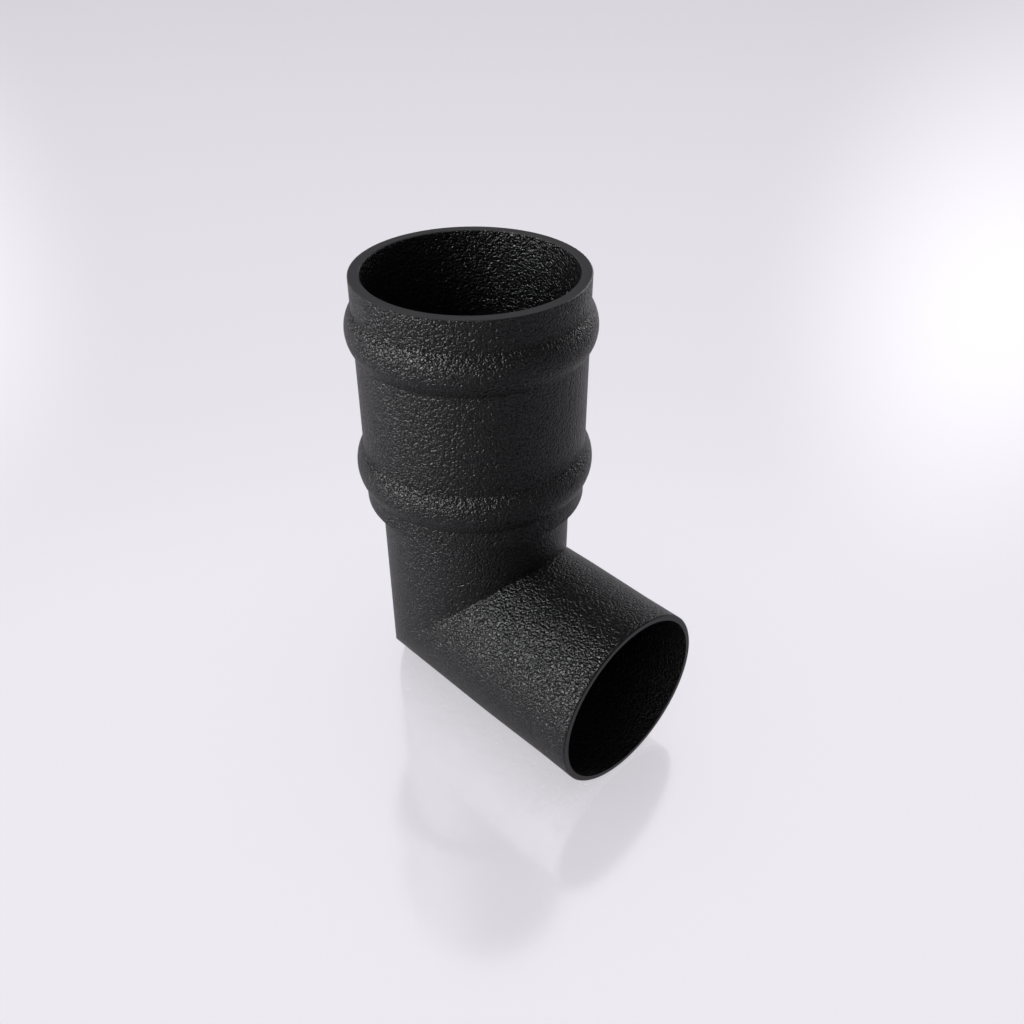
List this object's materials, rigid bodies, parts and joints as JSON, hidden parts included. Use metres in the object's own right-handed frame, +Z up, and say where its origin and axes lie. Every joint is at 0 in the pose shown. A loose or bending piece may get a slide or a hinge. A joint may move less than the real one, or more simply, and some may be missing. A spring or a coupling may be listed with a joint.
{
  "type": "downspout elbow",
  "caption": "Black moulded downspout elbow: a long round socket with raised bands on top, a sharp mitred bend and a plain round outlet.",
  "frame": {"origin": "centre of the seat inside the socket, where the pipe's cut end stands", "axes": "+Z up the socket's axis, the way the pipe leaves; +X the way the outlet points"},
  "size_m": [0.1199, 0.083, 0.1685],
  "materials": {
    "black_plastic": "satin"
  },
  "bodies": {
    "root": {"downpipe_elbow": "black_plastic"}
  },
  "joints": []
}
